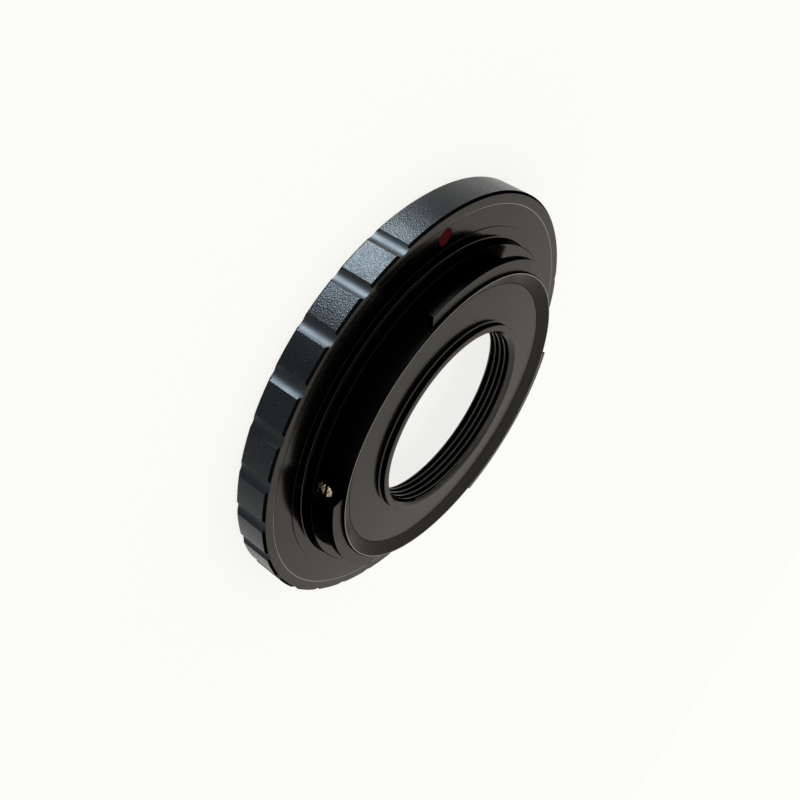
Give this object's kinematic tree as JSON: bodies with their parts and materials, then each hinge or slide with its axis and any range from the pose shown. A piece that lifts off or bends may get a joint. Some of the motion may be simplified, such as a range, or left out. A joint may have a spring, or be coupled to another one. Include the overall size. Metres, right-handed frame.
{
  "type": "lens mount adapter",
  "caption": "Black metal ring with a notched grip, bayonet lugs on one side and a threaded inner ring held by grub screws, joining a screw-mount lens to a camera body.",
  "frame": {"origin": "on the optical axis, in the plane of the lens-side face, which it lies on", "axes": "+Z along the optical axis towards the camera, +Y through the red index mark"},
  "size_m": [0.0584, 0.0584, 0.0091],
  "materials": {
    "black_anodised": "satin black anodised",
    "black_anodised_ring": "satin black anodised",
    "brass": "turned",
    "red_paint": "gloss paint fill"
  },
  "bodies": {
    "body": {"bayonet_body": "black_anodised", "index_dot": "red_paint"},
    "ring": {"threaded_ring": "black_anodised_ring"},
    "screw_1": {"grub_screw_1": "brass"},
    "screw_2": {"grub_screw_2": "brass"}
  },
  "joints": [
    {"name": "ring_turn", "type": "hinge", "parent": "body", "child": "ring", "pos_m": [0, 0, 0.0064], "axis": [0, 0, 1], "continuous": true},
    {"name": "screw_1_back_out", "type": "slide", "parent": "body", "child": "screw_1", "axis": [-0.9925, 0.1219, 0], "range_m": [0, 0.001]},
    {"name": "screw_2_back_out", "type": "slide", "parent": "body", "child": "screw_2", "axis": [0.9925, -0.1219, 0], "range_m": [0, 0.001]}
  ]
}
